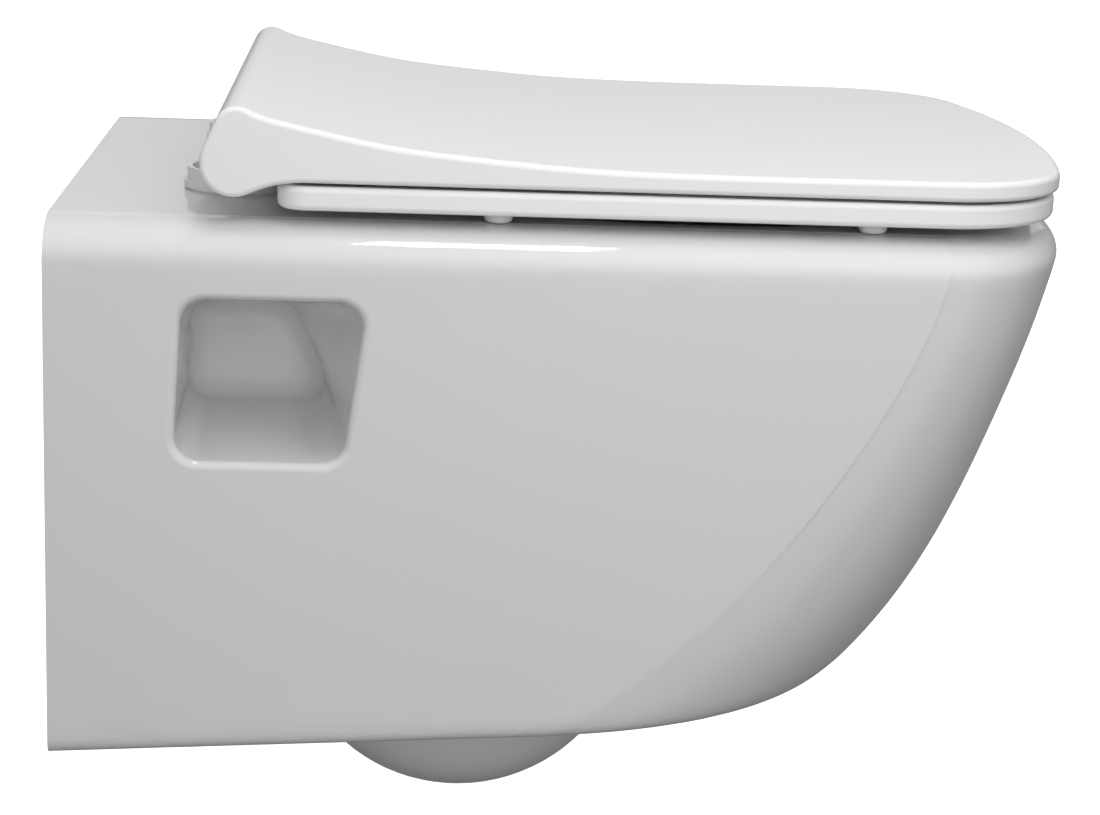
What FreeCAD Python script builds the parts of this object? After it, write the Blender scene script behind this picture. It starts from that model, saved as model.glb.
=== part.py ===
"""Wall hung toilet with a slim wrap-over seat and cover.

Frame: +Z up, X across, the wall is the plane Y = 0 and the pan reaches towards -Y.
The origin is midway between the two wall stud holes, on the wall plane.
Lengths are millimetres. A height called a depth is measured down from the deck, the
pan's flat top. Heights of the seat hinges and of the seat are measured up from the deck.
"""
import FreeCAD, Part
import math
import os
from FreeCAD import Vector
import Sketcher

doc = FreeCAD.newDocument("wall_hung_toilet")
sheet = doc.addObject("Spreadsheet::Sheet", "Sizes")

SIZES = [
    # Pan: outer skin.
    ("deck_height", 80, "deck above the wall studs"),
    ("pan_length", 516, "wall to the front of the pan"),
    ("pan_width", 368, "pan across its sides"),
    ("pan_drop", 269, "deck down to the flat underside"),
    ("side_lean", 1, "how far each side leans in by the underside"),
    ("underside_rise", 24.5, "how much higher the underside is at the front"),
    ("deck_round_across", 27, "rounding of the deck's edge, measured across"),
    ("deck_round_down", 20, "rounding of the deck's edge, measured down"),
    ("keel_round", 8, "rounding of the lower side edges"),
    ("front_rake", 80, "how far the front falls back by the underside"),
    ("rake_power", 1.3, "how late the front falls back"),
    ("chin_round", 32, "extra fall of the chin, measured back"),
    ("chin_start", 160, "depth where the chin starts"),
    ("nose_top", 95, "depth of the nose's curve at the deck"),
    ("nose_bottom", 185, "depth of the nose's curve at the underside"),
    ("squareness", 2.6, "power of the nose's superellipse"),
    ("ceramic_wall", 11, "ceramic skin"),
    ("deck_wall", 16, "ceramic under the deck"),
    # Pan: bowl.
    ("bowl_wall", 10, "ceramic round the bowl"),
    ("bowl_front_land", 44, "from the front of the bowl's mouth to the pan's front"),
    ("bowl_rear", 150, "rear of the bowl's mouth from the wall"),
    ("bowl_side_land", 42, "from the side of the bowl's mouth to the pan's side"),
    ("bowl_belly_depth", 105, "depth where the bowl turns in"),
    ("bowl_floor_depth", 195, "depth of the bowl's floor"),
    ("bowl_squareness", 2.3, "power of the bowl's superellipse"),
    ("rim_round", 6, "rounding of the bowl's mouth"),
    # Pan: trap, waste outlet and flush inlet.
    ("trap_reach", 208, "centre of the trap's bend from the wall"),
    ("trap_depth", 259, "depth of the centre of the trap's bend"),
    ("trap_bend", 56, "bend radius of the trap's passage"),
    ("trap_bore", 30, "radius of the trap's passage"),
    ("bulge_bend", 50.5, "bend radius of the bulge round the trap"),
    ("bulge_tube", 46, "tube radius of the bulge round the trap"),
    ("bulge_depth", 258.5, "depth of the centre of the bulge"),
    ("outlet_below_studs", 100, "waste outlet's centre below the studs"),
    ("outlet_radius", 51, "outside of the waste spigot"),
    ("outlet_wall", 7, "ceramic of the waste spigot"),
    ("outlet_setback", 4, "end of the spigot inside the wall plane"),
    ("outlet_free", 80, "length of the spigot that a connector slides on"),
    ("outlet_root", 3, "how much thicker the spigot's root is"),
    ("outlet_run", 140, "length of the outlet's bore from the wall"),
    ("inlet_above_studs", 35, "flush inlet's centre above the studs"),
    ("inlet_radius", 27.5, "flush inlet's socket"),
    ("inlet_socket", 40, "depth of the flush inlet's socket"),
    ("inlet_wall", 9, "ceramic round the inlet's socket"),
    ("flush_channel", 20, "radius of the channel from inlet to bowl"),
    # Pan: fixing pockets and holes.
    ("stud_spacing", 180, "between the wall studs"),
    ("stud_hole", 11, "radius of the holes for the wall studs"),
    ("boss_half", 30, "half of the square boss round a stud hole"),
    ("pocket_wall", 9, "ceramic round a fixing pocket"),
    ("pocket_inner", 75, "pocket's inner end from the middle plane"),
    ("pocket_rear", 63, "rear of the pocket's mouth from the wall"),
    ("pocket_front", 154.5, "front of the pocket's mouth from the wall"),
    ("pocket_taper", 11.5, "how much shorter the mouth is at its foot"),
    ("pocket_top", 35.5, "depth of the mouth's top"),
    ("pocket_foot", 116.5, "depth of the mouth's foot"),
    ("pocket_corner", 12, "corner radius of the mouth"),
    ("pocket_lip", 4, "rounding of the mouth's edge"),
    ("pocket_lean", 2, "how far the mouth's rear side leans"),
    ("pocket_blend", 11, "rounding at the pocket's inner end"),
    ("pocket_step", 9, "how much higher the floor's inner end is"),
    ("pocket_roof", 24, "how much lower the roof's inner end is"),
    ("pocket_narrowing", 45, "how much the front side closes in at the inner end"),
    ("pocket_floor_narrowing", 16, "the same at the floor"),
    # Seat hinges.
    ("hinge_spacing", 155, "between the hinge fixings"),
    ("fixing_reach", 84, "hinge fixings from the wall"),
    ("fixing_hole", 7.5, "radius of the fixing holes in the deck"),
    ("axis_reach", 88.5, "hinge axis from the wall"),
    ("axis_height", 28, "hinge axis above the deck"),
    ("pad_thick", 1, "soft pad under a hinge base"),
    ("pad_radius", 25, "soft pad under a hinge base"),
    ("flange_radius", 26, "flange of a hinge base"),
    ("flange_thick", 3.6, "flange of a hinge base"),
    ("cup_radius", 24.5, "cup of a hinge base"),
    ("cup_wall", 2.5, "wall of that cup"),
    ("cup_height", 6.6, "cup above its flange"),
    ("bolt_radius", 3, "fixing bolt"),
    ("bolt_head", 6, "radius of the bolt's sunk head"),
    ("bolt_length", 46, "fixing bolt under the deck"),
    ("sleeve_gap", 0.2, "between the sleeve and its hole"),
    ("sleeve_foot", 10, "radius of the sleeve's spread foot"),
    ("sleeve_foot_thick", 9, "height of that foot"),
    ("washer_radius", 12, "washer under the sleeve"),
    ("washer_thick", 2, "washer under the sleeve"),
    ("nut_radius", 6.5, "hub of the wing nut"),
    ("nut_height", 8, "hub of the wing nut"),
    ("wing_reach", 14, "reach of a wing from the bolt"),
    ("wing_thick", 2.6, "thickness of a wing"),
    ("running_gap", 0.05, "between a pin or bolt and what turns on it"),
    ("seat_clear", 0.3, "between pieces that only rest together"),
    ("plug_radius", 15, "plug that drops in a cup"),
    ("plug_height", 8, "plug that drops in a cup"),
    ("post_width", 18, "hinge post along the axis"),
    ("post_depth", 14, "hinge post across the axis"),
    ("eye_radius", 9, "eye of the post and of the lugs"),
    ("pin_radius", 3, "hinge pin"),
    ("lug_width", 9, "lug of the seat or the cover"),
    ("lug_gap", 0.4, "between a post and a lug"),
    ("damper_radius", 8, "soft-close damper"),
    ("damper_length", 32, "soft-close damper"),
    # Seat.
    ("seat_rise", 6.4, "seat's underside above the deck"),
    ("seat_thick", 11.8, "thickness of the seat"),
    ("seat_front_inset", 8, "from the pan's front to the seat's front"),
    ("seat_side_inset", 7, "from the pan's side to the seat's side"),
    ("seat_rear", 108.8, "rear edge of the seat from the wall"),
    ("front_bow", 600, "radius of the bowed front of seat and cover"),
    ("front_corner", 65, "front corners of seat and cover"),
    ("seat_corner", 14, "rear corners of the seat"),
    ("hole_front", 440, "front of the seat's opening from the wall"),
    ("hole_rear", 172, "rear of the seat's opening from the wall"),
    ("hole_half_width", 106, "half of the seat's opening"),
    ("seat_edge", 3, "rounding of the seat's edges"),
    ("cup_clearance", 2, "between the seat's rear edge and a cup"),
    ("arm_over_cup", 1, "seat's arms above the cups"),
    ("arm_root", 12, "how far the arms run onto the seat"),
    ("buffer_radius", 7, "buffers under the seat"),
    ("buffer_inset", 21, "buffers from the seat's side"),
    ("buffer_rear", 215, "rear buffers from the wall"),
    ("buffer_front", 398, "front buffers from the wall"),
    ("buffer_gap", 0.2, "between a buffer and what it lands on"),
    # Cover.
    ("cover_gap", 1.6, "between the seat and the cover"),
    ("cover_thick", 9.7, "edge of the cover"),
    ("cover_lead", 2, "cover's front in front of the seat's"),
    ("cover_overhang", 1, "cover's side outside the seat's"),
    ("barrel_radius", 16, "barrel round the hinge axis"),
    ("crown_height", 55.2, "highest point of the cover above the deck"),
    ("crown_reach", 90, "that point from the wall"),
    ("crown_round", 10.7, "rounding of the cover's crown"),
    ("hollow_round", 60, "hollow between the barrel and the cover's underside"),
    ("swoop_end", 290, "where the cover's sweep flattens, from the wall"),
    ("cheek_wall", 6, "end walls of the hump"),
    ("hump_wall", 4.5, "skin of the hump"),
    ("hump_front", 116, "front of the hump's hollow from the wall"),
    ("notch_inner", 49, "inner side of the hump's notch"),
    ("notch_outer", 107, "outer side of the hump's notch"),
    ("cover_edge", 2.6, "rounding of the cover's edges"),
    ("cover_buffer_radius", 6, "buffers under the cover"),
    ("cover_buffer_inset", 45, "those buffers from the seat's side"),
    ("cover_buffer_reach", 430, "those buffers from the wall"),
]

for row, (alias, value, meaning) in enumerate(SIZES, start=1):
    sheet.set(f"A{row}", meaning)
    sheet.set(f"B{row}", str(value))
    sheet.setAlias(f"B{row}", alias)
doc.recompute()


def size(alias):
    """The value of one driving dimension."""
    return float(sheet.get(alias))


SIDES = (("left", -1), ("right", 1))
DECK = size("deck_height")
SEAT_HALF = size("pan_width") / 2 - size("seat_side_inset")
SEAT_LENGTH = size("pan_length") - size("seat_front_inset")
COVER_HALF = SEAT_HALF + size("cover_overhang")
COVER_LENGTH = SEAT_LENGTH + size("cover_lead")
BOSS_REACH = size("pocket_rear") - size("pocket_wall") / 2
HALF_TURN = 180.0
FULL_TURN = 360.0
X_AXIS = Vector(1, 0, 0)
Y_AXIS = Vector(0, 1, 0)
Z_AXIS = Vector(0, 0, 1)
NOSE_POINTS = 24
LOOP_POINTS = 36
OVERRUN = 5.0
TINY = 0.02

finished = []


# ---------------------------------------------------------------- shared helpers

def keep(item, label):
    """Names a finished sub-part, which gets its own file."""
    item.Label = label
    finished.append(item)
    return item


def feature(name, shape):
    """A document object that holds a free-form shape."""
    item = doc.addObject("Part::Feature", name)
    item.Shape = shape
    return item


def bind(item, **expressions):
    """Ties properties of an object to the sheet."""
    for name, expression in expressions.items():
        item.setExpression(name.replace("__", "."), expression)


def origin_plane(body, role):
    return next(p for p in body.Origin.OriginFeatures if p.Role == role)


def bound_outline(body, role, corners):
    """A closed sketch of straight lines whose corners are tied to the sheet."""
    sketch = body.newObject("Sketcher::SketchObject", body.Name + "_outline")
    sketch.AttachmentSupport = [(origin_plane(body, role), "")]
    sketch.MapMode = "FlatFace"
    count = len(corners)
    guess = [Vector(10 + 3 * i, 5 * i, 0) for i in range(count)]
    for i in range(count):
        sketch.addGeometry(Part.LineSegment(guess[i], guess[(i + 1) % count]), False)
    for i in range(count):
        sketch.addConstraint(Sketcher.Constraint("Coincident", i, 2, (i + 1) % count, 1))
    for i, corner in enumerate(corners):
        for kind, expression, axis in zip(("DistanceX", "DistanceY"), corner, (-2, -1)):
            if expression == "0":
                sketch.addConstraint(Sketcher.Constraint("PointOnObject", i, 1, axis))
                continue
            index = sketch.addConstraint(Sketcher.Constraint(kind, -1, 1, i, 1, 1.0))
            name = f"{kind[-1].lower()}_{i}"
            sketch.renameConstraint(index, name)
            sketch.setExpression("Constraints." + name, expression)
    return sketch


def place(item, x, y, z):
    """Binds an object's position to expressions of the sheet."""
    bind(item, Placement__Base__x=x, Placement__Base__y=y, Placement__Base__z=z)


def turned(name, corners):
    """A body turned about its own Z from a half outline of (radius, height)."""
    body = doc.addObject("PartDesign::Body", name)
    sketch = bound_outline(body, "XZ_Plane", corners)
    turn = body.newObject("PartDesign::Revolution", name + "_turn")
    turn.Profile = (sketch, [""])
    turn.ReferenceAxis = (sketch, ["V_Axis"])
    turn.Angle = FULL_TURN
    body.Tip = turn
    return body


def cylinder(name, radius, height):
    item = doc.addObject("Part::Cylinder", name)
    bind(item, Radius=radius, Height=height)
    return item


def box(name, length, width, height):
    item = doc.addObject("Part::Box", name)
    bind(item, Length=length, Width=width, Height=height)
    return item


def fused(name, pieces):
    item = doc.addObject("Part::MultiFuse", name)
    item.Shapes = pieces
    return item


def cut(name, base, tool):
    item = doc.addObject("Part::Cut", name)
    item.Base = base
    item.Tool = tool
    return item


def signed(side, expression):
    """An expression on the left (-1) or the right (+1) of the middle plane."""
    return f"{side} * ({expression})"


# ---------------------------------------------------------------- outlines

def rod(radius, length, start, direction):
    """A solid cylinder from a start point along a direction."""
    return Part.makeCylinder(radius, length, start, direction)


def lid_wire(half_width, rear, reach, z):
    """The plan outline of the seat and the cover: two round corners and a bowed front."""
    bow = size("front_bow")
    corner = size("front_corner")
    corner_across = half_width - corner
    corner_back = bow - math.sqrt((bow - corner) ** 2 - corner_across ** 2)
    lean = math.asin(corner_across / (bow - corner))
    joint_across = bow * math.sin(lean)
    joint_back = bow - bow * math.cos(lean)
    half_lean = (math.pi / 2 - lean) / 2
    middle_across = corner_across + corner * math.cos(half_lean)
    middle_back = corner_back - corner * math.sin(half_lean)

    def at(across, back):
        return Vector(across, -reach + back, z)

    def corner_arc(side):
        points = [
            at(side * half_width, corner_back),
            at(side * middle_across, middle_back),
            at(side * joint_across, joint_back),
        ]
        return points if side > 0 else points[::-1]

    right_rear = Vector(half_width, -rear, z)
    left_rear = Vector(-half_width, -rear, z)
    right = corner_arc(1)
    left = corner_arc(-1)
    edges = [
        Part.LineSegment(left_rear, right_rear).toShape(),
        Part.LineSegment(right_rear, right[0]).toShape(),
        Part.Arc(*right).toShape(),
        Part.Arc(right[2], at(0, 0), left[0]).toShape(),
        Part.Arc(*left).toShape(),
        Part.LineSegment(left[2], left_rear).toShape(),
    ]
    return Part.Wire(edges)


def superellipse(angle, squareness):
    """A point of the unit superellipse in the direction of an angle."""
    across = math.cos(angle)
    along = math.sin(angle)
    reach = (abs(across) ** squareness + abs(along) ** squareness) ** (-1 / squareness)
    return across * reach, along * reach


def nose_curve(half_width, reach, nose, at):
    """The front of a plan outline: half a superellipse from right to left."""
    points = []
    for i in range(NOSE_POINTS + 1):
        across, ahead = superellipse(math.pi * i / NOSE_POINTS, size("squareness"))
        points.append(at(half_width * across, reach - nose + nose * ahead))
    ahead = at(0, 1) - at(0, 0)
    curve = Part.BSplineCurve()
    curve.interpolate(Points=points, InitialTangent=ahead, FinalTangent=-ahead)
    return curve.toShape()


def plan_wire(half_width, rear, reach, nose, z, climb):
    """A plan outline, climbing towards the front: a rear edge, two sides and a rounded front."""

    def at(across, from_wall):
        return Vector(across, -from_wall, z + climb * from_wall)

    corner = reach - nose
    edges = [
        Part.LineSegment(at(-half_width, rear), at(half_width, rear)).toShape(),
        Part.LineSegment(at(half_width, rear), at(half_width, corner)).toShape(),
        nose_curve(half_width, reach, nose, at),
        Part.LineSegment(at(-half_width, corner), at(-half_width, rear)).toShape(),
    ]
    return Part.Wire(edges)


def loop_wire(half_width, front, rear, z, squareness):
    """A closed oval between two reaches from the wall."""
    middle = -(front + rear) / 2
    half_length = (front - rear) / 2
    points = []
    for i in range(LOOP_POINTS):
        across, along = superellipse(2 * math.pi * i / LOOP_POINTS, squareness)
        points.append(Vector(half_width * across, middle + half_length * along, z))
    curve = Part.BSplineCurve()
    curve.interpolate(Points=points, PeriodicFlag=True)
    return Part.Wire([curve.toShape()])


def rounded_quad(corners, radius, inset=0.0):
    """A closed wire of four straight sides joined by round corners, drawn in by an inset."""
    edges = []
    count = len(corners)
    starts = []
    ends = []
    for i, corner in enumerate(corners):
        before = (corners[i - 1] - corner).normalize()
        after = (corners[(i + 1) % count] - corner).normalize()
        half_angle = before.getAngle(after) / 2
        run = radius / math.tan(half_angle)
        centre = corner + (before + after).normalize() * (radius / math.sin(half_angle))
        reach = (radius - inset) / radius
        start = centre + (corner + before * run - centre) * reach
        end = centre + (corner + after * run - centre) * reach
        middle = centre + (corner - centre).normalize() * (radius - inset)
        starts.append(start)
        ends.append(end)
        edges.append(Part.Arc(start, middle, end).toShape())
    sides = [Part.LineSegment(ends[i], starts[(i + 1) % count]).toShape() for i in range(count)]
    woven = [edge for pair in zip(edges, sides) for edge in pair]
    return Part.Wire(woven)


# ---------------------------------------------------------------- pan

def front_reach(depth):
    """How far the pan reaches from the wall at a depth below the deck."""
    drop = size("pan_drop")
    rake = size("front_rake") * (depth / drop) ** size("rake_power")
    start = size("chin_start")
    share = max(0.0, (depth - start) / (drop - start))
    chin = size("chin_round") * (1 - math.sqrt(max(0.0, 1 - share ** 2)))
    return size("pan_length") - rake - chin


def hull_section(depth, inset):
    """One outline of the pan's outside, drawn in by an inset; the lower, the more it climbs."""
    share = depth / size("pan_drop")
    half_width = size("pan_width") / 2 - size("side_lean") * share - inset
    reach = front_reach(depth) - inset
    nose_growth = size("nose_bottom") - size("nose_top")
    nose = size("nose_top") + nose_growth * share ** 2 - inset
    climb = size("underside_rise") / size("pan_length") * share
    return plan_wire(half_width, -OVERRUN, reach, nose, DECK - depth, climb)


def keel_inset(depth):
    """How far the rounded lower edge draws the sides in at a depth."""
    radius = size("keel_round")
    past = depth - (size("pan_drop") - radius)
    if past <= 0:
        return 0.0
    return radius - math.sqrt(max(0.0, radius ** 2 - past ** 2))


def hull_blank():
    """The solid outside of the pan, running past the wall plane."""
    drop = size("pan_drop")
    down = size("deck_round_down")
    across = size("deck_round_across")
    chin = size("chin_start")
    sections = []
    for angle in (90, 81, 72, 63, 54, 45, 36, 27, 18, 9):
        turn = math.radians(angle)
        depth = down * (1 - math.sin(turn))
        sections.append(hull_section(depth, across * (1 - math.cos(turn))))
    level = chin - down
    for share in (0.0, 0.06, 0.18, 0.38, 0.68):
        sections.append(hull_section(down + level * share, 0.0))
    for angle in (0, 20, 38, 53, 65, 75, 83, 90):
        depth = chin + (drop - chin) * math.sin(math.radians(angle))
        sections.append(hull_section(depth, keel_inset(depth)))
    return Part.makeLoft(sections, True, False)


def hull_hollow():
    """The space inside the pan's skin, open at the wall."""
    wall = size("ceramic_wall")
    top = size("deck_wall")
    bottom = size("pan_drop") - wall
    sections = []
    for share in (0.0, 0.25, 0.5, 0.7, 0.85, 0.95, 1.0):
        depth = top + (bottom - top) * share
        sections.append(hull_section(depth, wall + keel_inset(depth + wall)))
    return Part.makeLoft(sections, True, False)


def bowl_solid(grow, lid):
    """The bowl's hollow, or with a wall's growth the ceramic round it."""
    sump_depth = size("trap_depth")
    belly = size("bowl_belly_depth")
    floor = size("bowl_floor_depth")
    front = size("pan_length") - size("bowl_front_land")
    rear = size("bowl_rear")
    half = size("pan_width") / 2 - size("bowl_side_land")
    sump_reach = size("trap_reach") + size("trap_bend")
    sump = size("trap_bore")
    between = (belly + floor) / 2
    square = size("bowl_squareness")
    stations = [
        (lid, front, rear, half),
        (belly * 0.4, front + 2, rear, half + 1),
        (belly, front - 20, rear + 10, half - 14),
        (between, front - 52, rear + 30, half - 40),
        (floor, front - 107, rear + 48, half - 72),
        (sump_depth, sump_reach + sump + 2, sump_reach - sump - 2, sump + 2),
    ]
    sections = []
    for depth, ahead, behind, across in stations:
        level = DECK - depth
        sections.append(loop_wire(across + grow, ahead + grow, behind - grow, level, square))
    return Part.makeLoft(sections, True, False)


def trap_passage():
    """The water way: down from the bowl, round the bend and up to the outlet's bore."""
    bend = size("trap_bend")
    bore = size("trap_bore")
    reach = size("trap_reach")
    level = DECK - size("trap_depth")
    outlet_level = -size("outlet_below_studs")
    ring = Part.makeTorus(bend, bore, Vector(0, -reach, level), X_AXIS)
    side = 4 * bend
    lower = Part.makeBox(side, side, side, Vector(-side / 2, -reach - side / 2, level - side))
    u_bend = ring.common(lower)
    riser = rod(bore, outlet_level - level, Vector(0, -reach + bend, level), Z_AXIS)
    entry = rod(bore, OVERRUN, Vector(0, -reach - bend, level), Z_AXIS)
    top = Part.makeSphere(bore, Vector(0, -reach + bend, outlet_level))
    return u_bend.fuse([riser, entry, top])


def stud_boss(side):
    """The block of ceramic that a wall stud passes through."""
    half = size("boss_half")
    centre = side * size("stud_spacing") / 2
    corner = Vector(centre - half, -BOSS_REACH, -half)
    return Part.makeBox(2 * half, BOSS_REACH, 2 * half, corner)


def pocket_solid(side, grow, outside):
    """The tapered pocket in one side, rounded at its end, or with a growth the ceramic round it."""
    rear = size("pocket_rear")
    front = size("pocket_front")
    taper = size("pocket_taper")
    top = DECK - size("pocket_top")
    foot = DECK - size("pocket_foot")
    mouth = side * outside
    inner = side * (size("pocket_inner") - grow)
    corner = size("pocket_corner") + grow
    lean = size("pocket_lean")
    mouth_corners = [
        Vector(mouth, -rear + lean + grow, foot - grow),
        Vector(mouth, -rear - lean + grow, top + grow),
        Vector(mouth, -front - grow, top + grow),
        Vector(mouth, -front + taper - grow, foot - grow),
    ]
    inner_foot = foot + size("pocket_step") - grow
    inner_top = top - size("pocket_roof") + grow
    inner_corners = [
        Vector(inner, -rear + lean + grow, inner_foot),
        Vector(inner, -rear + lean + grow, inner_top),
        Vector(inner, -front + size("pocket_narrowing") - grow, inner_top),
        Vector(inner, -front + size("pocket_floor_narrowing") - grow, inner_foot),
    ]

    def section(x, inset):
        share = (x - mouth) / (inner - mouth)
        corners = [a + (b - a) * share for a, b in zip(mouth_corners, inner_corners)]
        return rounded_quad(corners, corner, inset)

    blend = size("pocket_blend")
    wires = []
    for degrees in (0, 22.5, 45, 67.5, 90):
        turn = math.radians(degrees)
        x = inner + side * blend * (1 - math.sin(turn))
        wires.append(section(x, blend * (1 - math.cos(turn))))
    hollow = Part.makeLoft([section(mouth, 0.0), wires[0]], True, True)
    return hollow.fuse(Part.makeLoft(wires, True, False))


def soften(shape, radius, chosen):
    """Rounds the edges that a test picks."""
    edges = [edge for edge in shape.Edges if chosen(edge)]
    return shape.makeFillet(radius, edges)


def pan_additions(hull):
    """The ceramic inside the skin: bowl, trap, spigot, inlet, pockets and stud blocks."""
    outlet_level = -size("outlet_below_studs")
    inlet_level = size("inlet_above_studs")
    bend = size("bulge_bend")
    tube = size("bulge_tube")
    centre = Vector(0, -size("trap_reach"), DECK - size("bulge_depth"))
    bulge = Part.makeTorus(bend, tube, centre, X_AXIS)
    core = rod(bend, tube, centre - X_AXIS * (tube / 2), X_AXIS)
    setback = size("outlet_setback")
    free = size("outlet_free")
    spigot = rod(size("outlet_radius"), free + OVERRUN, Vector(0, -setback, outlet_level), -Y_AXIS)
    root_start = Vector(0, -setback - free, outlet_level)
    root_length = size("outlet_run") + size("outlet_wall") - setback - free
    root = rod(size("outlet_radius") + size("outlet_root"), root_length, root_start, -Y_AXIS)
    inlet_outside = size("inlet_radius") + size("inlet_wall")
    inlet_length = size("bowl_rear") + size("bowl_wall")
    inlet = rod(inlet_outside, inlet_length, Vector(0, 0, inlet_level), -Y_AXIS).common(hull)
    added = [bowl_solid(size("bowl_wall"), size("deck_wall") / 2), bulge, core, spigot, root, inlet]
    skin_middle = size("pan_width") / 2 - size("ceramic_wall") / 2
    for name, side in SIDES:
        added.append(pocket_solid(side, size("pocket_wall"), skin_middle))
        added.append(stud_boss(side))
    return added


def pan_removals():
    """Everything the casting is open for: water ways, pockets and fixing holes."""
    outlet_level = -size("outlet_below_studs")
    inlet_level = size("inlet_above_studs")
    bore_radius = size("outlet_radius") - size("outlet_wall")
    bore_length = size("outlet_run") + OVERRUN
    bore = rod(bore_radius, bore_length, Vector(0, OVERRUN, outlet_level), -Y_AXIS)
    socket_start = Vector(0, OVERRUN, inlet_level)
    socket = rod(size("inlet_radius"), size("inlet_socket") + OVERRUN, socket_start, -Y_AXIS)
    channel_length = size("bowl_rear") + 2 * size("bowl_wall")
    channel = rod(size("flush_channel"), channel_length, Vector(0, 0, inlet_level), -Y_AXIS)
    removed = [bowl_solid(0.0, -1.0), trap_passage(), bore, socket, channel]
    stud_run = BOSS_REACH + size("pocket_wall") + size("pocket_corner") + OVERRUN
    deck_run = size("deck_wall") + 2 * OVERRUN
    for name, side in SIDES:
        removed.append(pocket_solid(side, 0.0, size("pan_width") / 2 + 1.0))
        stud = Vector(side * size("stud_spacing") / 2, OVERRUN, 0)
        removed.append(rod(size("stud_hole"), stud_run, stud, -Y_AXIS))
        hinge = Vector(side * size("hinge_spacing") / 2, -size("fixing_reach"), DECK + OVERRUN)
        removed.append(rod(size("fixing_hole"), deck_run, hinge, -Z_AXIS))
    return removed


def mouth_edge(edge):
    """Whether an edge is the bowl's mouth in the deck."""
    box = edge.BoundBox
    return box.ZMin > DECK - TINY and abs(box.YMax + size("bowl_rear")) < 1.0 < box.XLength


def pocket_edge(edge):
    """Whether an edge is part of a pocket's mouth in the pan's side."""
    box = edge.BoundBox
    beside = abs(box.Center.x) > size("pan_width") / 2 - size("side_lean") - 1.0
    along = box.YMax < -size("pocket_rear") + OVERRUN and box.YMin > -size("pocket_front") - OVERRUN
    high = box.ZMin > DECK - size("pocket_foot") - OVERRUN
    return beside and along and high


def make_pan():
    """One casting: skin, bowl, trap, outlet, inlet, pockets and fixing holes."""
    reach = size("pan_length")
    width = size("pan_width")
    behind = Part.makeBox(2 * width, 8 * OVERRUN, 4 * reach, Vector(-width, 0, -2 * reach))
    hull = hull_blank().cut(behind)
    pan = hull.cut(hull_hollow())
    for piece in pan_additions(hull):
        pan = pan.fuse(piece)
    for piece in pan_removals() + [behind]:
        pan = pan.cut(piece)
    pan = soften(pan, size("rim_round"), mouth_edge)
    pan = soften(pan, size("pocket_lip"), pocket_edge)
    keep(feature("pan_casting", pan), "pan")


# ---------------------------------------------------------------- hinge fixings

def make_pad(name, side):
    """The soft pad between a hinge base and the deck."""
    disc = cylinder("pad_disc_" + name, "Sizes.pad_radius", "Sizes.pad_thick")
    hole = cylinder("pad_hole_" + name, "Sizes.fixing_hole", "Sizes.pad_thick")
    pad = cut("pad_" + name, disc, hole)
    place(pad, signed(side, FIXING_X), FIXING_Y, "Sizes.deck_height")
    keep(pad, "base_pad_" + name)


def make_base(name, side):
    """The hinge base: a flange with an open cup and a countersunk hole."""
    top = "Sizes.flange_thick + Sizes.cup_height"
    inside = "Sizes.cup_radius - Sizes.cup_wall"
    hole = "Sizes.bolt_radius + Sizes.seat_clear"
    sink = "Sizes.flange_thick - Sizes.bolt_head + Sizes.bolt_radius + Sizes.seat_clear"
    corners = [
        (hole, "0"),
        ("Sizes.flange_radius", "0"),
        ("Sizes.flange_radius", "Sizes.flange_thick"),
        ("Sizes.cup_radius", "Sizes.flange_thick"),
        ("Sizes.cup_radius", top),
        (inside, top),
        (inside, "Sizes.flange_thick"),
        ("Sizes.bolt_head", "Sizes.flange_thick"),
        (hole, sink),
    ]
    base = turned("base_" + name, corners)
    place(base, signed(side, FIXING_X), FIXING_Y, "Sizes.deck_height + Sizes.pad_thick")
    keep(base, "hinge_base_" + name)


def make_bolt(name, side):
    """The countersunk bolt that holds a hinge base to the deck."""
    top = "Sizes.bolt_length + Sizes.pad_thick + Sizes.flange_thick"
    shank = top + " - Sizes.bolt_head + Sizes.bolt_radius"
    corners = [
        ("0", "0"),
        ("Sizes.bolt_radius", "0"),
        ("Sizes.bolt_radius", shank),
        ("Sizes.bolt_head", top),
        ("0", top),
    ]
    bolt = turned("bolt_" + name, corners)
    place(bolt, signed(side, FIXING_X), FIXING_Y, "Sizes.deck_height - Sizes.bolt_length")
    keep(bolt, "fixing_bolt_" + name)


def make_sleeve(name, side):
    """The rubber sleeve that fills the deck's hole and spreads below it."""
    inside = "Sizes.bolt_radius + Sizes.seat_clear"
    outside = "Sizes.fixing_hole - Sizes.sleeve_gap"
    top = "Sizes.sleeve_foot_thick + Sizes.deck_wall"
    corners = [
        (inside, "0"),
        ("Sizes.sleeve_foot", "0"),
        ("Sizes.sleeve_foot", "Sizes.sleeve_foot_thick"),
        (outside, "Sizes.sleeve_foot_thick"),
        (outside, top),
        (inside, top),
    ]
    sleeve = turned("sleeve_" + name, corners)
    place(sleeve, signed(side, FIXING_X), FIXING_Y, SLEEVE_Z)
    keep(sleeve, "fixing_sleeve_" + name)


def make_washer(name, side):
    """The washer between the sleeve and the wing nut."""
    disc = cylinder("washer_disc_" + name, "Sizes.washer_radius", "Sizes.washer_thick")
    hole = cylinder("washer_hole_" + name, "Sizes.bolt_radius + Sizes.seat_clear", "Sizes.washer_thick")
    washer = cut("washer_" + name, disc, hole)
    place(washer, signed(side, FIXING_X), FIXING_Y, WASHER_Z)
    keep(washer, "fixing_washer_" + name)


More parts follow.
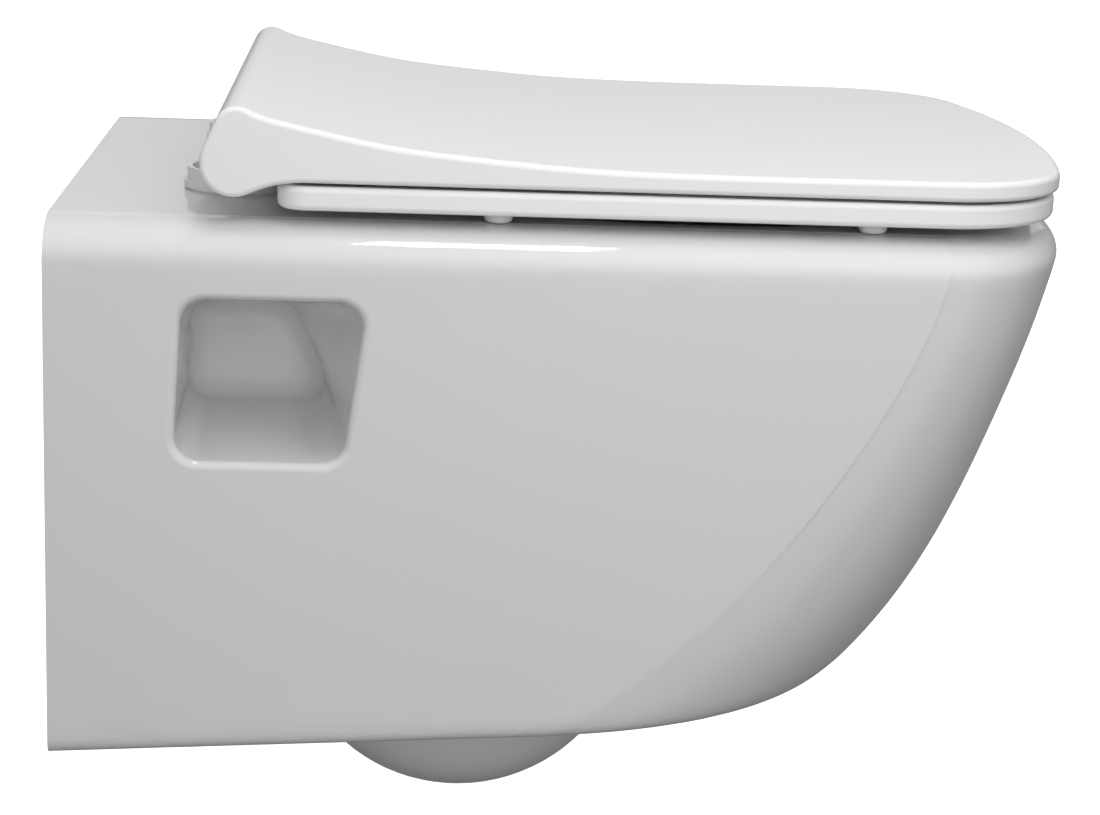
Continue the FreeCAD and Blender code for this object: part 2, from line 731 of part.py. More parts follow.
def make_wing_nut(name, side):
    """The wing nut that is turned by hand from under the deck."""
    hub = cylinder("nut_hub_" + name, "Sizes.nut_radius", "Sizes.nut_height")
    wings = box("nut_wings_" + name, "2 * Sizes.wing_reach", "Sizes.wing_thick", "Sizes.nut_height")
    place(wings, "-Sizes.wing_reach", "-Sizes.wing_thick / 2", "0 mm")
    body = fused("nut_body_" + name, [hub, wings])
    bore = cylinder("nut_bore_" + name, "Sizes.bolt_radius + Sizes.running_gap", "Sizes.nut_height")
    nut = cut("nut_" + name, body, bore)
    place(nut, signed(side, FIXING_X), FIXING_Y, WASHER_Z + " - Sizes.nut_height")
    keep(nut, "wing_nut_" + name)


# ---------------------------------------------------------------- hinge posts and pins

def along_x(item):
    """Turns an object's Z to point along X."""
    item.Placement.Rotation = FreeCAD.Rotation(Y_AXIS, 90)


def make_post(name, side):
    """The post: a plug that stands in the cup, a stem and an eye for the pin."""
    foot = "Sizes.pad_thick + Sizes.flange_thick + Sizes.seat_clear"
    plug = cylinder("post_plug_" + name, "Sizes.plug_radius", "Sizes.plug_height")
    place(plug, "0 mm", "0 mm", foot)
    stem = box("post_stem_" + name, "Sizes.post_width", "Sizes.post_depth", f"Sizes.axis_height - ({foot})")
    place(stem, "-Sizes.post_width / 2", "-Sizes.post_depth / 2", foot)
    eye = cylinder("post_eye_" + name, "Sizes.eye_radius", "Sizes.post_width")
    along_x(eye)
    place(eye, "-Sizes.post_width / 2", "0 mm", "Sizes.axis_height")
    body = fused("post_body_" + name, [plug, stem, eye])
    bore = cylinder("post_bore_" + name, "Sizes.pin_radius", "Sizes.post_width")
    along_x(bore)
    place(bore, "-Sizes.post_width / 2", "0 mm", "Sizes.axis_height")
    post = cut("post_" + name, body, bore)
    place(post, signed(side, FIXING_X), AXIS_Y, "Sizes.deck_height")
    keep(post, "hinge_post_" + name)


def make_pin(name, side):
    """The pin through the post's eye and the lugs beside it, ending just inside the lugs."""
    half = "(Sizes.post_width / 2 + Sizes.lug_gap + Sizes.lug_width - Sizes.seat_clear)"
    pin = cylinder("pin_" + name, "Sizes.pin_radius", "2 * " + half)
    along_x(pin)
    place(pin, signed(side, FIXING_X) + " - " + half, AXIS_Y, AXIS_Z)
    keep(pin, "hinge_pin_" + name)


def make_dampers():
    """The soft-close dampers: the seat's beside its left lug, the cover's beside its right."""
    seat_side = "Sizes.post_width / 2 + Sizes.lug_gap + Sizes.lug_width"
    damper = cylinder("damper_of_seat", "Sizes.damper_radius", "Sizes.damper_length")
    along_x(damper)
    place(damper, f"-{FIXING_X} + {seat_side}", AXIS_Y, AXIS_Z)
    keep(damper, "seat_damper")
    damper = cylinder("damper_of_cover", "Sizes.damper_radius", "Sizes.damper_length")
    along_x(damper)
    place(damper, f"{FIXING_X} + {seat_side}", AXIS_Y, AXIS_Z)
    keep(damper, "cover_damper")


# ---------------------------------------------------------------- seat

def axis_point(x):
    """The point of the hinge axis at an X."""
    return Vector(x, -size("axis_reach"), DECK + size("axis_height"))


def lug(side, start, corners):
    """An eye on the hinge axis with an arm: a plate across X with a bore for the pin."""
    width = size("lug_width")
    near = side * start
    low = min(near, near + side * width)
    eye = Part.makeCylinder(size("eye_radius"), width, axis_point(low), X_AXIS)
    points = [Vector(low, y, DECK + z) for y, z in corners]
    arm = Part.Face(Part.makePolygon(points + points[:1])).extrude(Vector(width, 0, 0))
    return eye.fuse(arm)


def pin_bore(side):
    """The bore for a hinge pin, a running fit."""
    centre = side * size("hinge_spacing") / 2
    half = size("post_width") / 2 + size("lug_gap") + size("lug_width") + 1.0
    radius = size("pin_radius") + size("running_gap")
    return Part.makeCylinder(radius, 2 * half, axis_point(centre - half), X_AXIS)


def make_seat():
    """The seat ring with two lugs that reach the hinge axis."""
    low = DECK + size("seat_rise")
    thick = size("seat_thick")
    rear = size("seat_rear")
    half = SEAT_HALF
    outline = lid_wire(half, rear, SEAT_LENGTH, low)
    plate = Part.Face(outline).extrude(Vector(0, 0, thick))
    corner = size("seat_corner")

    def rear_corner(edge):
        return edge.BoundBox.ZLength > thick / 2 and edge.BoundBox.YMin > -rear - 1

    plate = soften(plate, corner, rear_corner)
    across = size("hole_half_width")
    opening = loop_wire(across, size("hole_front"), size("hole_rear"), low, size("squareness"))
    ring = plate.cut(Part.Face(opening).extrude(Vector(0, 0, thick)))
    ring = soften(ring, size("seat_edge"), lambda edge: edge.BoundBox.ZLength < TINY)
    for name, side in SIDES:
        cup = Vector(side * size("hinge_spacing") / 2, -size("fixing_reach"), DECK)
        ring = ring.cut(rod(size("cup_radius") + size("cup_clearance"), 4 * thick, cup, Z_AXIS))

    axis_reach = size("axis_reach")
    axis_height = size("axis_height")
    eye = size("eye_radius")
    seat_top = size("seat_rise") + thick
    cup_top = size("pad_thick") + size("flange_thick") + size("cup_height")
    low_line = cup_top + size("arm_over_cup")
    root = -rear - 1.0 - size("arm_root")
    arm = [
        (-axis_reach - 0.8 * eye, axis_height + 0.6 * eye),
        (-size("hump_front") + 1.0, seat_top),
        (root, seat_top),
        (root, seat_top - thick / 2),
        (-rear - 1.0, seat_top - thick / 2),
        (-rear - 1.0, low_line),
        (-axis_reach - 0.5 * eye, axis_height - 0.86 * eye),
    ]
    post_side = size("post_width") / 2 + size("lug_gap")
    start = size("hinge_spacing") / 2 - post_side - size("lug_width")
    seat = ring.fuse([lug(side, start, arm) for name, side in SIDES])
    seat = seat.cut([pin_bore(side) for name, side in SIDES])
    keep(feature("seat_ring_shape", seat), "seat_ring")


def make_seat_buffers():
    """The four rubber buffers under the seat."""
    height = "Sizes.seat_rise - Sizes.buffer_gap"
    for end in ("rear", "front"):
        for name, side in SIDES:
            label = f"seat_buffer_{end}_{name}"
            buffer = cylinder("shape_of_" + label, "Sizes.buffer_radius", height)
            level = "Sizes.deck_height + Sizes.buffer_gap"
            place(buffer, signed(side, BUFFER_X), f"-Sizes.buffer_{end}", level)
            keep(buffer, label)


# ---------------------------------------------------------------- cover

def cover_profile(x):
    """The cover's side outline at an X: slim front, sweep, crown, back, barrel and hollow."""
    axis_reach = size("axis_reach")
    axis_height = size("axis_height")
    barrel = size("barrel_radius")
    crown = size("crown_height")
    crown_reach = size("crown_reach")
    crown_round = size("crown_round")
    hollow_round = size("hollow_round")
    under = size("seat_rise") + size("seat_thick") + size("cover_gap")
    top = under + size("cover_thick")
    tip = COVER_LENGTH + OVERRUN
    sweep = size("swoop_end") - crown_reach
    rise = crown - top

    def at(reach, height):
        return Vector(x, -reach, DECK + height)

    def round_point(reach, height, radius, degrees):
        """A point of a circle; 0 degrees faces the front and 90 is up."""
        turn = math.radians(degrees)
        return at(reach + radius * math.cos(turn), height + radius * math.sin(turn))

    crown_centre = (crown_reach, crown - crown_round)
    lead = 62
    crown_front = round_point(*crown_centre, crown_round, lead)
    offset_reach = axis_reach - crown_centre[0]
    offset_height = crown_centre[1] - axis_height
    between = math.hypot(offset_reach, offset_height)
    slope = math.degrees(math.atan2(offset_height, -offset_reach))
    back = slope + math.degrees(math.acos((barrel - crown_round) / between))
    crown_rear = round_point(*crown_centre, crown_round, back)
    crown_middle = round_point(*crown_centre, crown_round, (lead + back) / 2)
    barrel_top = round_point(axis_reach, axis_height, barrel, back)

    hollow_height = under - hollow_round
    drop = axis_height - hollow_height
    ahead = math.sqrt((barrel + hollow_round) ** 2 - drop ** 2)
    leave = FULL_TURN - math.degrees(math.atan2(drop, ahead))
    barrel_middle = round_point(axis_reach, axis_height, barrel, (back + leave) / 2)
    barrel_foot = round_point(axis_reach, axis_height, barrel, leave)
    hollow_centre = (axis_reach + ahead, hollow_height)
    enter = leave - HALF_TURN
    hollow_middle = round_point(*hollow_centre, hollow_round, (enter + 90) / 2)
    hollow_end = round_point(*hollow_centre, hollow_round, 90)

    sweep_points = [
        at(tip, top),
        at((tip + size("swoop_end")) / 2, top),
        at(size("swoop_end"), top + 0.01 * rise),
        at(crown_reach + 0.80 * sweep, top + 0.06 * rise),
        at(crown_reach + 0.57 * sweep, top + 0.19 * rise),
        at(crown_reach + 0.38 * sweep, top + 0.34 * rise),
        at(crown_reach + 0.16 * sweep, top + 0.66 * rise),
        crown_front,
    ]
    slope_end = Vector(0, math.sin(math.radians(lead)), math.cos(math.radians(lead)))
    sweep_curve = Part.BSplineCurve()
    sweep_curve.interpolate(Points=sweep_points, InitialTangent=Y_AXIS, FinalTangent=slope_end)
    edges = [
        sweep_curve.toShape(),
        Part.Arc(crown_front, crown_middle, crown_rear).toShape(),
        Part.LineSegment(crown_rear, barrel_top).toShape(),
        Part.Arc(barrel_top, barrel_middle, barrel_foot).toShape(),
        Part.Arc(barrel_foot, hollow_middle, hollow_end).toShape(),
        Part.LineSegment(hollow_end, at(tip, under)).toShape(),
        Part.LineSegment(at(tip, under), at(tip, top)).toShape(),
    ]
    return Part.Wire(edges)


def hump_hollow(half_width):
    """The hollow of the hump and, in front of it, the hollow under the sweep."""
    crown = size("crown_height")
    crown_reach = size("crown_reach")
    axis_reach = size("axis_reach")
    front = size("hump_front")
    wall = size("hump_wall")
    rear = axis_reach - size("barrel_radius") + wall
    under = size("seat_rise") + size("seat_thick") + size("cover_gap")
    top = under + size("cover_thick")
    rise = crown - top
    sweep = size("swoop_end") - crown_reach
    share = (front - crown_reach) / sweep
    front_roof = top + 0.7 * rise * (1 - share) - wall
    chambers = [
        [
            (-front, -OVERRUN),
            (-front, front_roof),
            (-crown_reach - 6, crown - wall - 2.5),
            (-crown_reach, crown - wall),
            (-crown_reach + 2, crown - wall - 2.5),
            (-rear, size("axis_height") + 2),
            (-rear, -OVERRUN),
        ],
        [
            (-front - wall, -OVERRUN),
            (-front - wall, front_roof - 3.5),
            (-crown_reach - 0.43 * sweep, top + 0.34 * rise - wall - 1.0),
            (-crown_reach - 0.62 * sweep, top + 0.17 * rise - wall),
            (-crown_reach - 0.8 * sweep, under + 3.0),
            (-crown_reach - 0.8 * sweep, -OVERRUN),
        ],
    ]
    solids = []
    for corners in chambers:
        points = [Vector(-half_width, y, DECK + z) for y, z in corners]
        face = Part.Face(Part.makePolygon(points + points[:1]))
        solids.append(face.extrude(Vector(2 * half_width, 0, 0)))
    return solids


def make_cover():
    """The slim cover that wraps over the hinges at its rear."""
    half = COVER_HALF
    blank = Part.Face(cover_profile(-half - OVERRUN)).extrude(Vector(2 * (half + OVERRUN), 0, 0))
    plan = lid_wire(half, size("axis_reach") / 2, COVER_LENGTH, DECK - OVERRUN)
    prism = Part.Face(plan).extrude(Vector(0, 0, 2 * size("crown_height")))
    cover = blank.common(prism)

    def rim(edge):
        box = edge.BoundBox
        on_side = box.XLength < TINY and abs(abs(box.Center.x) - half) < TINY
        at_front = box.YMax < -COVER_LENGTH + half / 2 and box.ZLength < 1
        return on_side or at_front

    cover = soften(cover, size("cover_edge"), rim)
    inside = half - size("cheek_wall")
    cover = cover.cut(hump_hollow(inside))
    axis_reach = size("axis_reach")
    lip = size("axis_height") - size("barrel_radius") / 4
    skirt_start = -axis_reach + size("barrel_radius") - 2 * OVERRUN
    skirt_corner = Vector(-inside, skirt_start, DECK - OVERRUN)
    skirt = Part.makeBox(2 * inside, 4 * OVERRUN, lip + OVERRUN, skirt_corner)
    cover = cover.cut(skirt)

    notch_width = size("notch_outer") - size("notch_inner")
    notch_top = size("crown_height") - 2 * size("hump_wall")
    for name, side in SIDES:
        low = min(side * size("notch_inner"), side * size("notch_outer"))
        corner = Vector(low, -axis_reach + size("barrel_radius") / 2, DECK)
        cover = cover.cut(Part.makeBox(notch_width, 6 * OVERRUN, notch_top, corner))

    eye = size("eye_radius")
    axis_height = size("axis_height")
    roof = size("crown_height") - size("hump_wall") + 1
    rib = [
        (-axis_reach - 0.8 * eye, axis_height - 1),
        (-axis_reach - 0.8 * eye, roof - 2),
        (-size("crown_reach"), roof),
        (-size("crown_reach") + 1.5, roof - 2),
        (-axis_reach + 0.8 * eye, axis_height),
    ]
    start = size("hinge_spacing") / 2 + size("post_width") / 2 + size("lug_gap")
    cover = cover.fuse([lug(side, start, rib) for name, side in SIDES])
    cover = cover.cut([pin_bore(side) for name, side in SIDES])
    keep(feature("cover_shape", cover), "cover")


def make_cover_buffers():
    """The two soft buffers between the cover and the seat."""
    seat_top = "Sizes.deck_height + Sizes.seat_rise + Sizes.seat_thick"
    for name, side in SIDES:
        label = "cover_buffer_" + name
        height = "Sizes.cover_gap - Sizes.buffer_gap"
        buffer = cylinder("shape_of_" + label, "Sizes.cover_buffer_radius", height)
        level = seat_top + " + Sizes.buffer_gap"
        place(buffer, signed(side, COVER_BUFFER_X), "-Sizes.cover_buffer_reach", level)
        keep(buffer, label)


# ---------------------------------------------------------------- the whole toilet

FIXING_X = "Sizes.hinge_spacing / 2"
FIXING_Y = "-Sizes.fixing_reach"
BUFFER_X = "Sizes.pan_width / 2 - Sizes.seat_side_inset - Sizes.buffer_inset"
COVER_BUFFER_X = "Sizes.pan_width / 2 - Sizes.seat_side_inset - Sizes.cover_buffer_inset"
AXIS_Y = "-Sizes.axis_reach"
AXIS_Z = "Sizes.deck_height + Sizes.axis_height"
SLEEVE_Z = "Sizes.deck_height - Sizes.deck_wall - Sizes.sleeve_foot_thick"
WASHER_Z = SLEEVE_Z + " - Sizes.washer_thick"

make_pan()
for name, side in SIDES:
    make_pad(name, side)
    make_base(name, side)
    make_bolt(name, side)
    make_sleeve(name, side)
    make_washer(name, side)
    make_wing_nut(name, side)
    make_post(name, side)
    make_pin(name, side)
make_dampers()
make_seat()
make_seat_buffers()
make_cover()
make_cover_buffers()
doc.recompute()

for item in doc.Objects:
    if "Invalid" in item.State or "Error" in item.State:
        raise RuntimeError(f"{item.Name} failed: {item.State}")
for item in finished:
    if item.Shape.isNull() or not item.Shape.isValid():
        raise RuntimeError(f"{item.Label} has no valid shape")
    print(f"{item.Label}: {len(item.Shape.Solids)} solid, {item.Shape.Volume / 1000:.2f} cm3")

os.makedirs("parts", exist_ok=True)
for item in finished:
    item.Shape.exportStep(f"parts/{item.Label}.step")
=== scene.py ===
"""The looks of the wall hung toilet, laid out as an add-on and run as a script.

Lengths are metres in the part's own frame: +Z up, the wall at Y = 0, the pan towards -Y.
"""
import math

import bmesh
import bpy
from bpy.props import FloatProperty, FloatVectorProperty, IntProperty, PointerProperty
from bpy.types import Operator, Panel, PropertyGroup
from mathutils import Matrix, Vector


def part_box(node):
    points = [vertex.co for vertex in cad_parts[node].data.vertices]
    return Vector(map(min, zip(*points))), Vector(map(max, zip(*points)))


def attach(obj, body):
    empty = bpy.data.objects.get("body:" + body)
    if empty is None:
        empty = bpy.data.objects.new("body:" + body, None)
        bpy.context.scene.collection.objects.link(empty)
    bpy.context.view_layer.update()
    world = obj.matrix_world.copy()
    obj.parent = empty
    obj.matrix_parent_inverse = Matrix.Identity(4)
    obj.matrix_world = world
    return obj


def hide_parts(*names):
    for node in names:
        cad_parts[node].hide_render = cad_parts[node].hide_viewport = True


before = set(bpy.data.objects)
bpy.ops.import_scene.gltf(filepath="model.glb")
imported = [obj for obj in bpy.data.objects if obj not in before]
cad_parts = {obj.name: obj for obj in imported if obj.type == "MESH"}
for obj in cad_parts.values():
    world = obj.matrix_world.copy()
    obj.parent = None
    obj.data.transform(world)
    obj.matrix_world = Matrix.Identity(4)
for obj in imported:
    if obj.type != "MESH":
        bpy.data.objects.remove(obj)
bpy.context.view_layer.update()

bl_info = {
    "name": "Wall hung toilet",
    "version": (1, 0, 0),
    "blender": (4, 5, 0),
    "location": "View3D > Sidebar > Toilet",
    "description": "Finishes and small fittings of a wall hung toilet",
    "category": "Object",
}

SIDES = ("left", "right")
MM = 0.001
CREASE = math.radians(38)

CAMERA_PLACE = (-1.3479, -0.1606, 0.2983)
CAMERA_YAW = math.radians(3.993)
CAMERA_PITCH = math.radians(14.552)
CAMERA_ROLL = math.radians(2.359)
CAMERA_LENS = 81.818
FLOOR_LEVEL = -0.32
FLOOR_REACH = 18.0
MIDDLE_OF_PAN = (-0.1, -0.3, 0.0)

BOLT_SHANK = 3.0 * MM
BOLT_HEAD = 6.0 * MM
SOCKET_DEPTH = 2.2 * MM
WING_TIP = 14.0 * MM
HUB_RADIUS = 6.5 * MM
DAMPER_CAP = 1.2 * MM
DAMPER_GROOVES = (0.26, 0.34, 0.66, 0.74)


# ---------------------------------------------------------------- node maths

class Socket:
    """An output socket that adds Math nodes when it is used in an expression."""

    def __init__(self, finish, output):
        self.finish = finish
        self.output = output

    def _math(self, operation, *values):
        return self.finish.node("ShaderNodeMath", {"operation": operation}, *values)

    def __add__(self, other):
        return self._math("ADD", self, other)

    __radd__ = __add__

    def __sub__(self, other):
        return self._math("SUBTRACT", self, other)

    def __rsub__(self, other):
        return self._math("SUBTRACT", other, self)

    def __mul__(self, other):
        return self._math("MULTIPLY", self, other)

    __rmul__ = __mul__


class Finish:
    """A material under construction: its nodes, its surface shader and its patterns."""

    def __init__(self, name, **constants):
        self.material = bpy.data.materials.new(name)
        self.material.use_nodes = True
        self.tree = self.material.node_tree
        self.shader = self.tree.nodes["Principled BSDF"]
        for socket, value in constants.items():
            self.shader.inputs[socket.replace("_", " ")].default_value = value

    def node(self, kind, settings=None, *values, output=0, **named):
        """Makes a node, sets its settings and sockets, and returns one output."""
        made = self.tree.nodes.new(kind)
        for key, value in (settings or {}).items():
            setattr(made, key, value)
        for index, value in enumerate(values):
            self.feed(made.inputs[index], value)
        for key, value in named.items():
            self.feed(made.inputs[key.replace("_", " ")], value)
        return Socket(self, made.outputs[output])

    def feed(self, target, value):
        """Links a socket, or sets its value."""
        if isinstance(value, Socket):
            self.tree.links.new(value.output, target)
        else:
            target.default_value = value

    def place(self):
        """The place on the piece, in metres."""
        return self.node("ShaderNodeTexCoord", output="Object")

    def noise(self, scale, detail=2.0, roughness=0.5, vector=None):
        """Soft random values round 0.5."""
        vector = vector or self.place()
        return self.node(
            "ShaderNodeTexNoise", None,
            Vector=vector, Scale=scale, Detail=detail, Roughness=roughness, output="Fac",
        )

    def between(self, value, low, high, start=0.0, end=1.0):
        """Maps a value smoothly from low..high to start..end."""
        return self.node(
            "ShaderNodeMapRange", {"interpolation_type": "SMOOTHSTEP"},
            value, low, high, start, end, output="Result",
        )

    def blend(self, share, first, second):
        """Mixes two colours."""
        mixed = self.tree.nodes.new("ShaderNodeMix")
        mixed.data_type = "RGBA"
        self.feed(mixed.inputs[0], share)
        self.feed(mixed.inputs[6], first)
        self.feed(mixed.inputs[7], second)
        return Socket(self, mixed.outputs[2])

    def bump(self, height, distance, strength=1.0):
        """Raises the surface by a height pattern."""
        normal = self.node("ShaderNodeBump", None, Strength=strength, Distance=distance, Height=height)
        self.feed(self.shader.inputs["Normal"], normal)

    def set(self, socket, value):
        """Feeds a socket of the surface shader by its name."""
        self.feed(self.shader.inputs[socket], value)


def tone(colour, factor=1.0):
    """A colour with full alpha, made lighter or darker."""
    return (*(min(1.0, channel * factor) for channel in colour), 1.0)


# ---------------------------------------------------------------- finishes

def glazed_ceramic(look):
    """White glaze with a faint waviness, and a raw edge where the casting meets the wall."""
    finish = Finish("glazed ceramic", Specular_IOR_Level=0.5, IOR=1.52, Coat_IOR=1.5)
    place = finish.place()
    from_wall = finish.node("ShaderNodeSeparateXYZ", None, place, output="Y")
    ragged = finish.noise(90.0, 3.0) * 0.0004
    raw = finish.between(from_wall + ragged, -0.0005, -0.0002)
    cloud = finish.noise(7.0, 3.0)
    glaze = finish.blend(cloud, tone(look.glaze, 0.985), tone(look.glaze, 1.01))
    finish.set("Base Color", finish.blend(raw, glaze, tone(look.biscuit)))
    gloss = look.glaze_roughness + finish.noise(16.0) * 0.03
    finish.set("Roughness", gloss + raw * 0.6)
    finish.set("Coat Weight", (1 - raw) * 0.5)
    finish.shader.inputs["Coat Roughness"].default_value = look.glaze_roughness * 0.5
    waves = finish.noise(14.0, 1.0) + finish.noise(420.0, 2.0) * 0.012
    finish.bump(waves, 0.0012, 0.12)
    return finish.material


def seat_plastic(look):
    """White gloss moulding: very even, with the faint ripple of a thick moulding."""
    finish = Finish("white seat plastic", IOR=1.49, Coat_Roughness=0.04)
    cloud = finish.noise(9.0)
    finish.set("Base Color", finish.blend(cloud, tone(look.plastic, 0.99), tone(look.plastic, 1.005)))
    finish.set("Roughness", look.plastic_roughness + finish.noise(22.0) * 0.03)
    finish.set("Coat Weight", finish.noise(12.0) * 0.1 + 0.3)
    finish.bump(finish.noise(18.0, 1.0) + finish.noise(600.0) * 0.01, 0.001, 0.1)
    return finish.material


def fitting_plastic(name, colour, roughness, grain):
    """Moulded plastic of a small fitting, with a fine grain."""
    finish = Finish(name, IOR=1.5)
    cloud = finish.noise(60.0)
    finish.set("Base Color", finish.blend(cloud, tone(colour, 0.95), tone(colour, 1.02)))
    finish.set("Roughness", roughness + finish.noise(140.0) * 0.08)
    finish.bump(finish.noise(grain, 3.0), 0.0002, 0.35)
    return finish.material


def soft_rubber(name, colour):
    """Soft white rubber with a dull skin."""
    finish = Finish(name, IOR=1.45, Subsurface_Weight=0.25)
    finish.shader.inputs["Subsurface Radius"].default_value = (0.002, 0.002, 0.002)
    cloud = finish.noise(120.0)
    finish.set("Base Color", finish.blend(cloud, tone(colour, 0.94), tone(colour, 1.02)))
    finish.set("Roughness", 0.42 + finish.noise(200.0) * 0.12)
    finish.bump(finish.noise(1500.0, 2.0), 0.00012, 0.3)
    return finish.material


def turned_steel(name, colour):
    """Stainless steel with fine turning marks along its length."""
    finish = Finish(name, Metallic=1.0, Anisotropic=0.4)
    place = finish.place()
    stretched = finish.node("ShaderNodeMapping", None, place, output="Vector")
    stretched.output.node.inputs["Scale"].default_value = (900.0, 60.0, 900.0)
    marks = finish.noise(1.0, 4.0, vector=stretched)
    finish.set("Base Color", finish.blend(marks, tone(colour, 0.82), tone(colour, 1.05)))
    finish.set("Roughness", marks * 0.2 + 0.18)
    finish.bump(marks, 0.0001, 0.25)
    return finish.material


# ---------------------------------------------------------------- settings

def colour_setting(name, description, default):
    """A colour that can be changed in the panel."""
    return FloatVectorProperty(
        name=name, description=description, default=default,
        min=0.0, max=1.0, subtype="COLOR",
    )


class ToiletLook(PropertyGroup):
    """Colours and sizes that can be changed."""

    glaze: colour_setting("Glaze", "Colour of the glazed pan", (0.745, 0.745, 0.745))
    biscuit: colour_setting("Raw edge", "Colour of the unglazed edge at the wall", (0.72, 0.69, 0.64))
    glaze_roughness: FloatProperty(
        name="Glaze roughness", description="How dull the glaze is",
        default=0.05, min=0.0, max=1.0, subtype="FACTOR",
    )
    plastic: colour_setting("Seat plastic", "Colour of the seat and the cover", (0.90, 0.90, 0.90))
    plastic_roughness: FloatProperty(
        name="Plastic roughness", description="How dull the seat and the cover are",
        default=0.16, min=0.0, max=1.0, subtype="FACTOR",
    )
    fitting: colour_setting("Fittings", "Colour of the hinge fittings", (0.76, 0.76, 0.76))
    rubber: colour_setting("Rubber", "Colour of buffers, pads and sleeves", (0.74, 0.74, 0.73))
    steel: colour_setting("Steel", "Colour of bolts and pins", (0.62, 0.62, 0.63))
    floor: colour_setting("Floor", "Colour of the floor", (0.9, 0.9, 0.9))
    thread_pitch: FloatProperty(
        name="Thread pitch", description="From one turn of the bolts' thread to the next",
        default=0.001, min=0.0005, max=0.002, unit="LENGTH",
    )
    grip_ribs: IntProperty(
        name="Grip ribs", description="Ribs round the hub of a wing nut", default=10, min=0, max=24,
    )
    groove_depth: FloatProperty(
        name="Groove depth", description="Depth of the grooves round a damper",
        default=0.0007, min=0.0, max=0.002, unit="LENGTH",
    )


def look():
    """The settings of this scene."""
    return bpy.context.scene.toilet_look


def dress(node, material):
    """Gives a carried-over piece its finish."""
    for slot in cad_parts[node].material_slots:
        slot.material = material


# ---------------------------------------------------------------- pieces

# Across and up a buffer, as shares of its radius and its height.
BUFFER_PROFILE = (
    (0.0, 0.06), (0.3, 0.05), (0.36, 0.0), (0.62, 0.0), (0.78, 0.05), (0.9, 0.14), (0.97, 0.27),
    (1.0, 0.42), (1.0, 0.74), (0.94, 0.8), (0.92, 0.84), (0.94, 0.88), (0.94, 1.0), (0.0, 1.0),
)


def lathe(shape, profile, steps=48):
    """Turns a profile of (radius, height) points round the Z axis."""
    points = [shape.verts.new((radius, 0.0, height)) for radius, height in profile]
    edges = [shape.edges.new(pair) for pair in zip(points, points[1:])]
    bmesh.ops.spin(
        shape, geom=points + edges, cent=(0.0, 0.0, 0.0), axis=(0.0, 0.0, 1.0),
        angle=math.tau, steps=steps, use_merge=True,
    )


def thread(shape, radius, depth, pitch, low, high, steps=28):
    """Winds a rounded ridge round the Z axis, from one height up to another."""
    half = pitch * 0.34
    profile = ((radius, -half), (radius + depth, -half * 0.3), (radius + depth, half * 0.3), (radius, half))
    points = [shape.verts.new((across, 0.0, low + half + up)) for across, up in profile]
    edges = [shape.edges.new(pair) for pair in zip(points, points[1:])]
    turns = int((high - low - 2 * half) / pitch)
    bmesh.ops.spin(
        shape, geom=points + edges, cent=(0.0, 0.0, 0.0), axis=(0.0, 0.0, 1.0),
        dvec=(0.0, 0.0, pitch / steps), angle=math.tau * turns, steps=steps * turns, use_merge=False,
    )


def block(shape, size, centre):
    """Adds a block and returns its corners."""
    corners = bmesh.ops.create_cube(shape, size=1.0)["verts"]
    bmesh.ops.scale(shape, verts=corners, vec=size)
    bmesh.ops.translate(shape, verts=corners, vec=centre)
    return corners


def upright_tips(shape, wing, tip):
    """The edges across a wing's thickness at its tip."""
    found = []
    for edge in shape.edges:
        first, second = edge.verts
        at_tip = all(abs(vert.co.x - tip) < 0.1 * MM for vert in edge.verts)
        if first in wing and at_tip and abs(first.co.y - second.co.y) > MM:
            found.append(edge)
    return found


def round_edges(shape, edges, radius, segments):
    """Rounds some edges of a shape."""
    bmesh.ops.bevel(
        shape, geom=edges, offset=radius, segments=segments,
        affect="EDGES", profile=0.5, material=-1, clamp_overlap=True,
    )


def finished(shape, name, place, material, slot, body, *nodes, sideways=False):
    """Makes a shape a piece that stands for CAD nodes and rides on their body."""
    bmesh.ops.remove_doubles(shape, verts=shape.verts, dist=0.000001)
    bmesh.ops.recalc_face_normals(shape, faces=shape.faces)
    if sideways:
        turn = Matrix.Rotation(math.pi / 2, 3, "Y")
        bmesh.ops.rotate(shape, verts=shape.verts, cent=(0.0, 0.0, 0.0), matrix=turn)
    bmesh.ops.translate(shape, verts=shape.verts, vec=place)
    for face in shape.faces:
        face.smooth = True
    for edge in shape.edges:
        edge.smooth = len(edge.link_faces) == 2 and edge.calc_face_angle() < CREASE
    mesh = bpy.data.meshes.new(name)
    shape.to_mesh(mesh)
    shape.free()
    mesh.materials.append(material)
    piece = bpy.data.objects.new(name, mesh)
    bpy.context.collection.objects.link(piece)
    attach(piece, body)
    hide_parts(*nodes)


def middle(node):
    """The middle of a CAD node's box in plan, at the height of its foot."""
    low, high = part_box(node)
    return Vector(((low[0] + high[0]) / 2, (low[1] + high[1]) / 2, low[2]))


def height_of(node):
    """How tall a CAD node is."""
    low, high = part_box(node)
    return high[2] - low[2]


# ---------------------------------------------------------------- operators

class TOILET_OT_pan(Operator):
    """Glazes the ceramic pan"""

    bl_idname = "toilet.pan"
    bl_label = "Pan"

    def execute(self, context):
        dress("pan", glazed_ceramic(look()))
        return {"FINISHED"}


class TOILET_OT_seat(Operator):
    """Finishes the seat ring and the cover"""

    bl_idname = "toilet.seat"
    bl_label = "Seat and cover"

    def execute(self, context):
        plastic = seat_plastic(look())
        dress("seat_ring", plastic)
        dress("cover", plastic)
        return {"FINISHED"}


